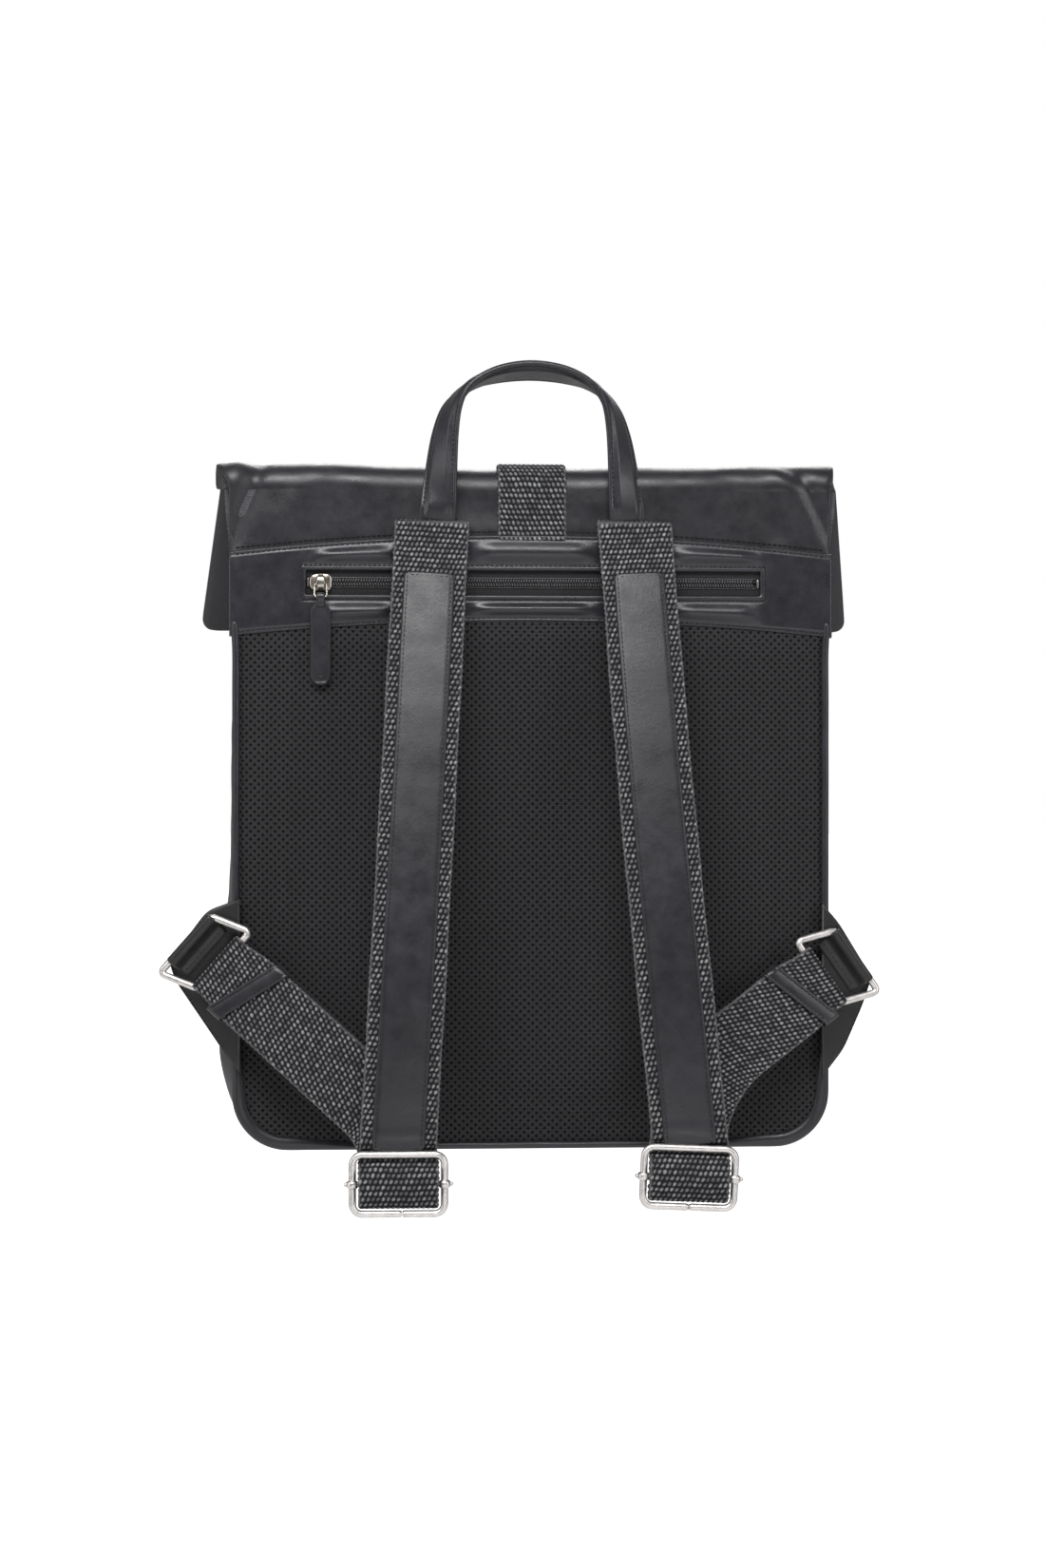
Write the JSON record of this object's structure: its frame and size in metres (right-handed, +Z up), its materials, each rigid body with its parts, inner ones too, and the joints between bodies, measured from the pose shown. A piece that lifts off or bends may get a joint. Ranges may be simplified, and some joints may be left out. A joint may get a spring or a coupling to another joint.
{
  "type": "backpack",
  "caption": "Black leather backpack with a fold-over top and closing strap, a mesh back with a zipped pocket, a carry handle and webbing shoulder straps with metal adjusters.",
  "frame": {"origin": "underside of the middle of the carry handle", "axes": "+Z up, +X to the right seen from the strap side, +Y towards the bag's front"},
  "size_m": [0.3959, 0.1766, 0.46],
  "materials": {
    "leather": "semi-matte smooth grain",
    "webbing": "coarse woven",
    "nickel": "satin nickel",
    "mesh": "perforated spacer mesh",
    "foam": "closed-cell foam",
    "board": "stiff sheet",
    "lining": "plain woven",
    "zip_tape": "woven tape",
    "zip_coil": "nylon coil"
  },
  "bodies": {
    "bag": {"back_binding": "leather", "back_board": "board", "back_foam": "foam", "back_mesh": "mesh", "back_yoke": "leather", "base_board": "board", "bottom_panel": "leather", "closure_strap_back": "webbing", "closure_strap_fold": "webbing", "collar_back": "leather", "front_panel": "leather", "gusset_left": "leather", "gusset_right": "leather", "handle_anchors": "leather", "laptop_sleeve": "lining", "lining": "lining", "pocket_pouch": "lining", "side_tab_left": "leather", "side_tab_right": "leather", "snap_stud": "nickel", "strap_root_left": "webbing", "strap_root_right": "webbing", "top_fold": "leather", "yoke_padding": "foam", "zip_coils": "zip_coil", "zip_stops": "nickel", "zip_tape_lower": "zip_tape", "zip_tape_upper": "zip_tape"},
    "flap": {"flap_outer": "leather", "flap_inner": "leather", "closure_strap_upper": "webbing"},
    "closing_strap": {"closure_strap_end": "webbing", "closure_strap_tip": "leather", "snap_cap": "nickel"},
    "handle": {"carry_handle": "leather"},
    "zip_slider": {"zip_slider": "nickel"},
    "pull_link": {"pull_link": "nickel"},
    "pull_tab": {"pull_tab": "leather"},
    "strap_left": {"shoulder_webbing_left": "webbing", "strap_leather_left": "leather", "adjuster_frame_left": "nickel", "adjuster_bar_left": "nickel", "lower_webbing_left": "webbing", "side_ring_left": "nickel"},
    "strap_right": {"shoulder_webbing_right": "webbing", "strap_leather_right": "leather", "adjuster_frame_right": "nickel", "adjuster_bar_right": "nickel", "lower_webbing_right": "webbing", "side_ring_right": "nickel"},
    "keeper_left": {"keeper_left": "leather"},
    "keeper_right": {"keeper_right": "leather"}
  },
  "joints": [
    {"name": "flap_fold", "type": "hinge", "parent": "bag", "child": "flap", "pos_m": [0, 0.00907, -0.061], "axis": [1, 0, 0], "range_deg": [0, 125], "deforming": ["top_fold", "closure_strap_fold"]},
    {"name": "closing_strap_lift", "type": "hinge", "parent": "flap", "child": "closing_strap", "pos_m": [0, 0.05732, -0.11397], "axis": [1, 0, 0], "range_deg": [0, 60]},
    {"name": "handle_swing", "type": "hinge", "parent": "bag", "child": "handle", "pos_m": [0, -0.00933, -0.076], "axis": [1, 0, 0], "range_deg": [0, 80]},
    {"name": "zip_slide", "type": "slide", "parent": "bag", "child": "zip_slider", "axis": [1, 0, 0], "range_m": [0, 0.232]},
    {"name": "pull_link_swing", "type": "hinge", "parent": "zip_slider", "child": "pull_link", "pos_m": [-0.1168, -0.00933, -0.1136], "axis": [0, 1, 0], "range_deg": [-20, 20]},
    {"name": "pull_tab_lift", "type": "hinge", "parent": "pull_link", "child": "pull_tab", "pos_m": [-0.1168, -0.0128, -0.12103], "axis": [-1, 0, 0], "range_deg": [0, 75]},
    {"name": "strap_swing_left", "type": "hinge", "parent": "bag", "child": "strap_left", "pos_m": [-0.0555, -0.00893, -0.0798], "axis": [-0.5014, -0.0189, -0.865], "range_deg": [0, 30]},
    {"name": "keeper_slide_left", "type": "slide", "parent": "strap_left", "child": "keeper_left", "axis": [0.7217, -0.2672, -0.6385], "range_m": [0, 0.04]},
    {"name": "strap_swing_right", "type": "hinge", "parent": "bag", "child": "strap_right", "pos_m": [0.0566, -0.00893, -0.0798], "axis": [-0.4522, 0.0187, 0.8917], "range_deg": [0, 30]},
    {"name": "keeper_slide_right", "type": "slide", "parent": "strap_right", "child": "keeper_right", "axis": [-0.7821, -0.2972, -0.5477], "range_m": [0, 0.01]}
  ]
}
